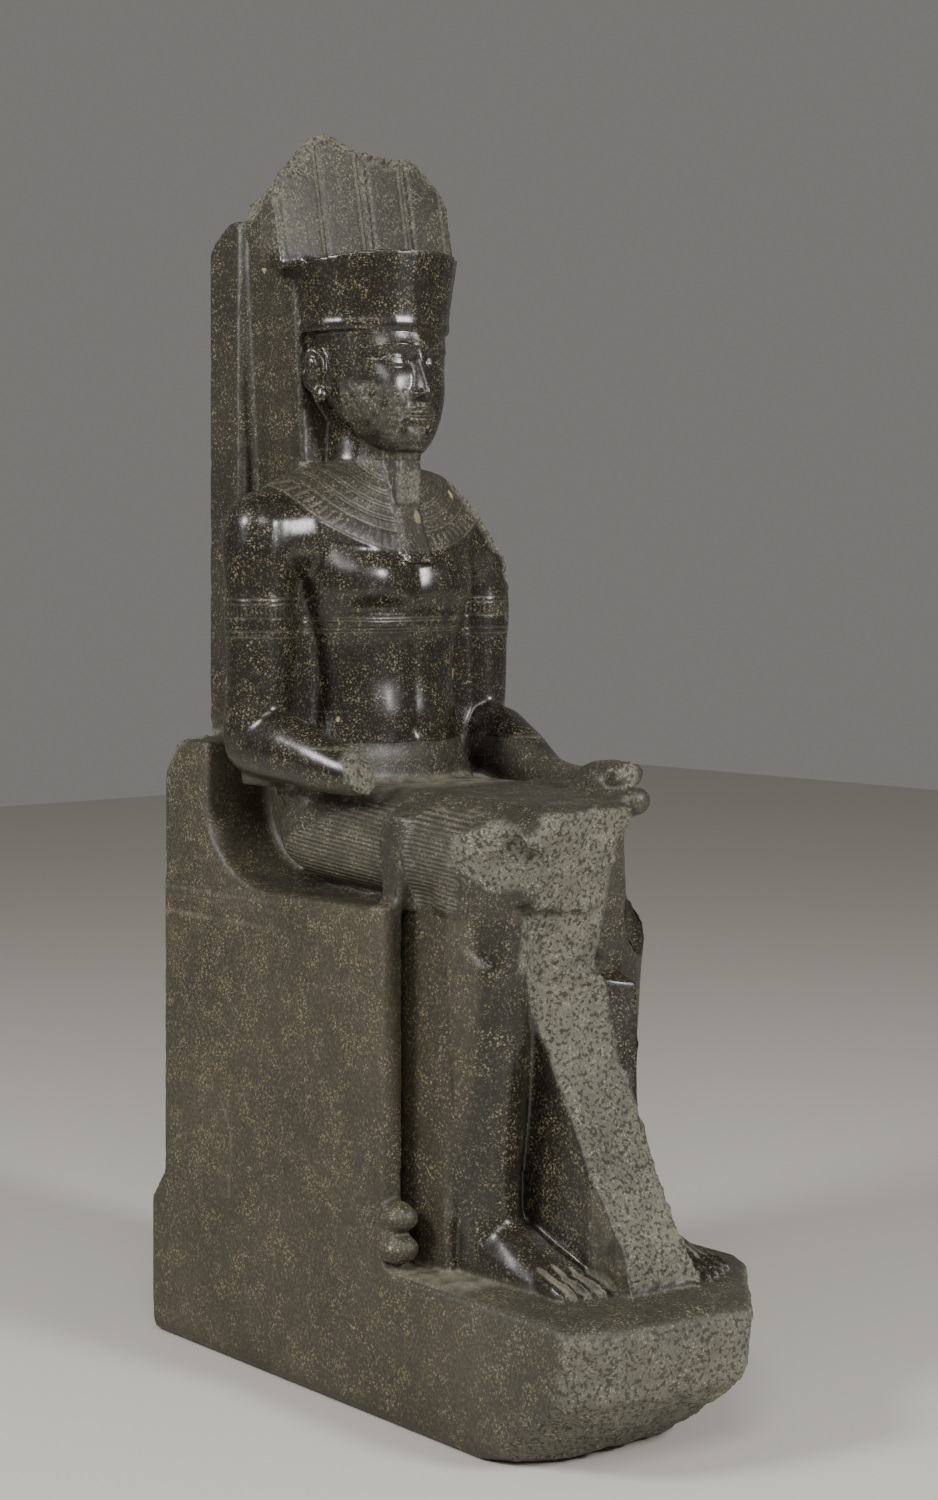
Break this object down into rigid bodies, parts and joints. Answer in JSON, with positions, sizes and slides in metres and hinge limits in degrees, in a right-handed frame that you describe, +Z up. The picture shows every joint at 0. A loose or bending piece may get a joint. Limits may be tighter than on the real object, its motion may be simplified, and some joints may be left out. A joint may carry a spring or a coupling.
{
  "type": "seated egyptian god statue",
  "caption": "Broken seated god in dark stone: plumed flat crown, broad collar and pleated kilt, on a low-backed throne carved with its back pillar and plinth.",
  "frame": {"origin": "middle of the plinth's flat underside", "axes": "+Z up, the figure faces -Y, and its right arm is on the -X side"},
  "size_m": [0.458, 0.8897, 1.598],
  "materials": {
    "stone": "dark grey-brown speckled hard stone, polished on the body and rough where broken"
  },
  "bodies": {
    "root": {"seated_god_statue": "stone"}
  },
  "joints": []
}
